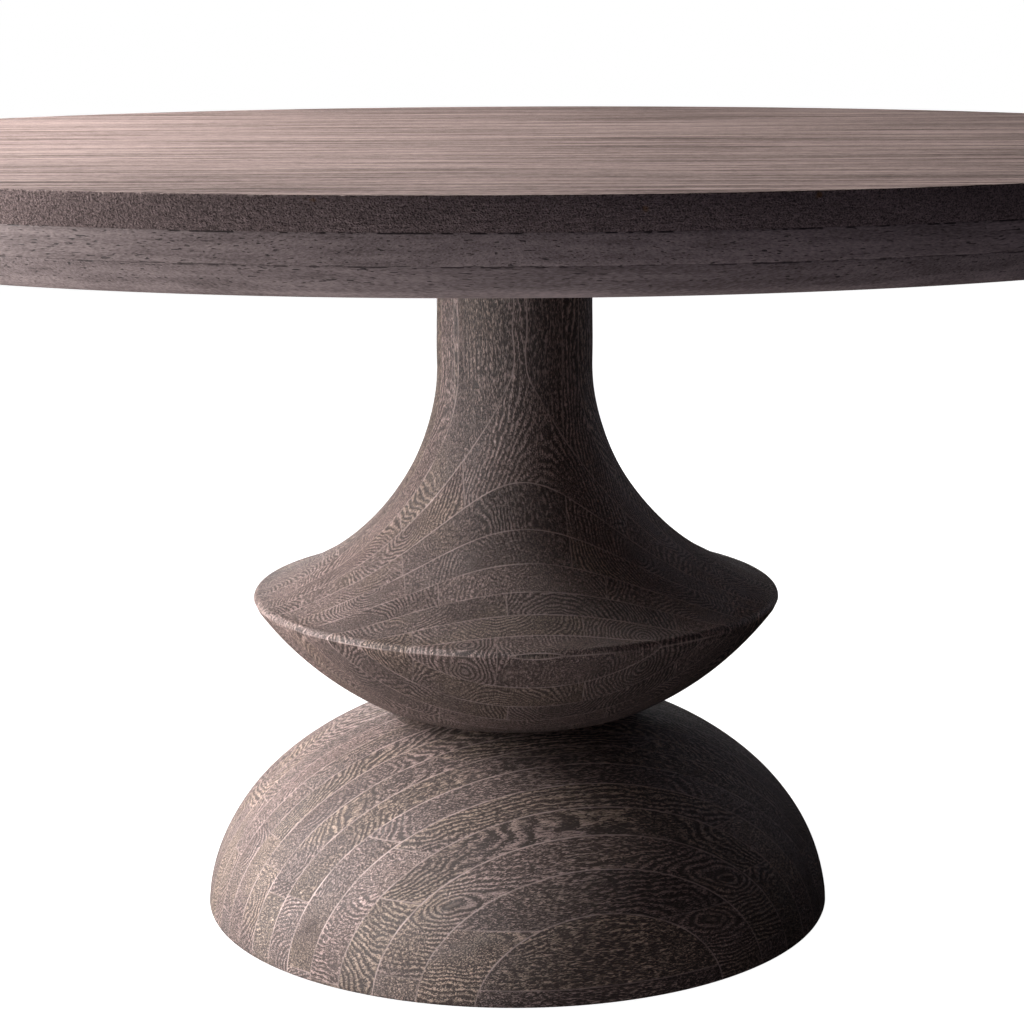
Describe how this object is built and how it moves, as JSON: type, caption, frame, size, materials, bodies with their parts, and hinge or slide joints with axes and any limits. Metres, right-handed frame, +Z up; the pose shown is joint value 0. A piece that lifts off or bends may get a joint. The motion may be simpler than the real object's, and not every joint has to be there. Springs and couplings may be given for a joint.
{
  "type": "round pedestal table",
  "caption": "Round solid-wood dining table on a turned pedestal with a flared column, sharp-rimmed bowl and domed base.",
  "frame": {"origin": "on the floor, on the pedestal axis", "axes": "+Z up, +X along the boards of the top, +Y across them; the front faces -Y"},
  "size_m": [1.524, 1.524, 0.762],
  "materials": {
    "top_wood": "satin, wire-brushed, greyed brown stain",
    "ring_wood": "satin, wire-brushed, greyed dark brown stain",
    "pedestal_wood": "satin, wire-brushed, dark brown stain with pale grain filler",
    "batten_wood": "planed, unfinished",
    "black_steel": "black powder coat",
    "zinc_steel": "zinc plated",
    "nylon": "matt moulded nylon"
  },
  "bodies": {
    "root": {"batten_left": "batten_wood", "batten_right": "batten_wood", "batten_screw_01": "zinc_steel", "batten_screw_02": "zinc_steel", "batten_screw_03": "zinc_steel", "batten_screw_04": "zinc_steel", "batten_screw_05": "zinc_steel", "batten_screw_06": "zinc_steel", "batten_screw_07": "zinc_steel", "batten_screw_08": "zinc_steel", "bowl_dowel_01": "batten_wood", "bowl_dowel_02": "batten_wood", "dome_base": "pedestal_wood", "leveller_insert_1": "zinc_steel", "leveller_insert_2": "zinc_steel", "leveller_insert_3": "zinc_steel", "leveller_insert_4": "zinc_steel", "lower_ring_segment_01": "ring_wood", "lower_ring_segment_02": "ring_wood", "lower_ring_segment_03": "ring_wood", "lower_ring_segment_04": "ring_wood", "lower_ring_segment_05": "ring_wood", "lower_ring_segment_06": "ring_wood", "mounting_plate": "black_steel", "plate_lag_screw_01": "zinc_steel", "plate_lag_screw_02": "zinc_steel", "plate_lag_screw_03": "zinc_steel", "plate_lag_screw_04": "zinc_steel", "plate_lag_screw_05": "zinc_steel", "plate_lag_screw_06": "zinc_steel", "rod_nut": "zinc_steel", "rod_washer": "zinc_steel", "tie_rod": "zinc_steel", "top_board_01": "top_wood", "top_board_02": "top_wood", "top_board_03": "top_wood", "top_board_04": "top_wood", "top_board_05": "top_wood", "top_board_06": "top_wood", "top_board_07": "top_wood", "top_board_08": "top_wood", "top_board_09": "top_wood", "top_board_10": "top_wood", "top_board_11": "top_wood", "top_board_12": "top_wood", "turned_column": "pedestal_wood", "upper_ring_segment_01": "ring_wood", "upper_ring_segment_02": "ring_wood", "upper_ring_segment_03": "ring_wood", "upper_ring_segment_04": "ring_wood", "upper_ring_segment_05": "ring_wood", "upper_ring_segment_06": "ring_wood"},
    "foot_1": {"leveller_pad_1": "nylon"},
    "foot_2": {"leveller_pad_2": "nylon"},
    "foot_3": {"leveller_pad_3": "nylon"},
    "foot_4": {"leveller_pad_4": "nylon"},
    "stem_1": {"leveller_stem_1": "zinc_steel"},
    "stem_2": {"leveller_stem_2": "zinc_steel"},
    "stem_3": {"leveller_stem_3": "zinc_steel"},
    "stem_4": {"leveller_stem_4": "zinc_steel"}
  },
  "joints": [
    {"name": "foot_1_slide", "type": "slide", "parent": "root", "child": "foot_1", "axis": [0, 0, -1], "range_m": [0, 0.0125]},
    {"name": "stem_1_turn", "type": "hinge", "parent": "foot_1", "child": "stem_1", "pos_m": [0.18031, 0.18031, 0.03], "axis": [0, 0, -1], "range_deg": [0, 2880]},
    {"name": "foot_2_slide", "type": "slide", "parent": "root", "child": "foot_2", "axis": [0, 0, -1], "range_m": [0, 0.0125]},
    {"name": "stem_2_turn", "type": "hinge", "parent": "foot_2", "child": "stem_2", "pos_m": [-0.18031, 0.18031, 0.03], "axis": [0, 0, -1], "range_deg": [0, 2880]},
    {"name": "foot_3_slide", "type": "slide", "parent": "root", "child": "foot_3", "axis": [0, 0, -1], "range_m": [0, 0.0125]},
    {"name": "stem_3_turn", "type": "hinge", "parent": "foot_3", "child": "stem_3", "pos_m": [-0.18031, -0.18031, 0.03], "axis": [0, 0, -1], "range_deg": [0, 2880]},
    {"name": "foot_4_slide", "type": "slide", "parent": "root", "child": "foot_4", "axis": [0, 0, -1], "range_m": [0, 0.0125]},
    {"name": "stem_4_turn", "type": "hinge", "parent": "foot_4", "child": "stem_4", "pos_m": [0.18031, -0.18031, 0.03], "axis": [0, 0, -1], "range_deg": [0, 2880]}
  ],
  "couplings": [
    {"joint": "foot_1_slide", "follows": "stem_1_turn", "m_per_rad": 0.00023873},
    {"joint": "foot_2_slide", "follows": "stem_2_turn", "m_per_rad": 0.00023873},
    {"joint": "foot_3_slide", "follows": "stem_3_turn", "m_per_rad": 0.00023873},
    {"joint": "foot_4_slide", "follows": "stem_4_turn", "m_per_rad": 0.00023873}
  ]
}
